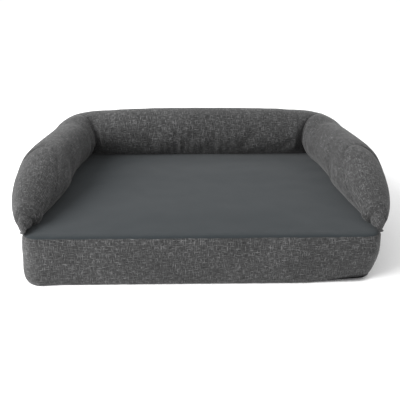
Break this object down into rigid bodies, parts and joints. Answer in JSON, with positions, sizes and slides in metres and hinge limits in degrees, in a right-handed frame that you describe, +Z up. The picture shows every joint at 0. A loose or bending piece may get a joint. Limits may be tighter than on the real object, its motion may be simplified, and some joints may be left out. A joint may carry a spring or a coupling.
{
  "type": "pet cushion bed",
  "caption": "Rectangular foam pet bed with a plush sleeping surface, a U-shaped stuffed bolster with sloped arm ends, and a zipped cover.",
  "frame": {"origin": "on the floor, under the middle of the overall box", "axes": "+X across the width, to the right of someone facing the open front; -Y towards the open front; +Z up"},
  "size_m": [1.0158, 0.6967, 0.2803],
  "materials": {
    "linen_weave": "matte",
    "plush_suede": "matte",
    "underside_cloth": "matte",
    "liner_cloth": "matte",
    "support_foam": "matte",
    "memory_foam": "matte",
    "polyester_fibre": "matte",
    "zip_tape": "matte",
    "zip_coil": "satin",
    "zip_metal": "satin",
    "label_cloth": "matte"
  },
  "bodies": {
    "bed": {"bottom_panel": "underside_cloth", "sleeping_panel": "plush_suede", "boxing_band": "linen_weave", "rear_band_lower": "linen_weave", "rear_band_upper": "linen_weave", "support_foam": "support_foam", "memory_foam_topper": "memory_foam", "foam_liner": "liner_cloth", "zip_tape_upper": "zip_tape", "zip_coil_upper": "zip_coil", "zip_tape_lower": "zip_tape", "zip_coil_lower": "zip_coil", "zip_stop_closed_end": "zip_metal", "zip_stop_open_end": "zip_metal", "care_label": "label_cloth", "back_bolster_cover": "linen_weave", "back_bolster_lining": "underside_cloth", "back_bolster_filling": "polyester_fibre", "left_arm_cover": "linen_weave", "left_arm_end_panel": "linen_weave", "left_arm_lining": "underside_cloth", "left_arm_filling": "polyester_fibre", "right_arm_cover": "linen_weave", "right_arm_end_panel": "linen_weave", "right_arm_lining": "underside_cloth", "right_arm_filling": "polyester_fibre"},
    "slider": {"zip_slider": "zip_metal"},
    "pull_tab": {"zip_pull_tab": "zip_metal"}
  },
  "joints": [
    {"name": "zip_slide", "type": "slide", "parent": "bed", "child": "slider", "axis": [-1, 0, 0], "range_m": [0, 0.6702]},
    {"name": "pull_tab_swing", "type": "hinge", "parent": "slider", "child": "pull_tab", "pos_m": [0.3351, 0.3397, 0.07], "axis": [0, 0, -1], "range_deg": [0, 180]}
  ]
}
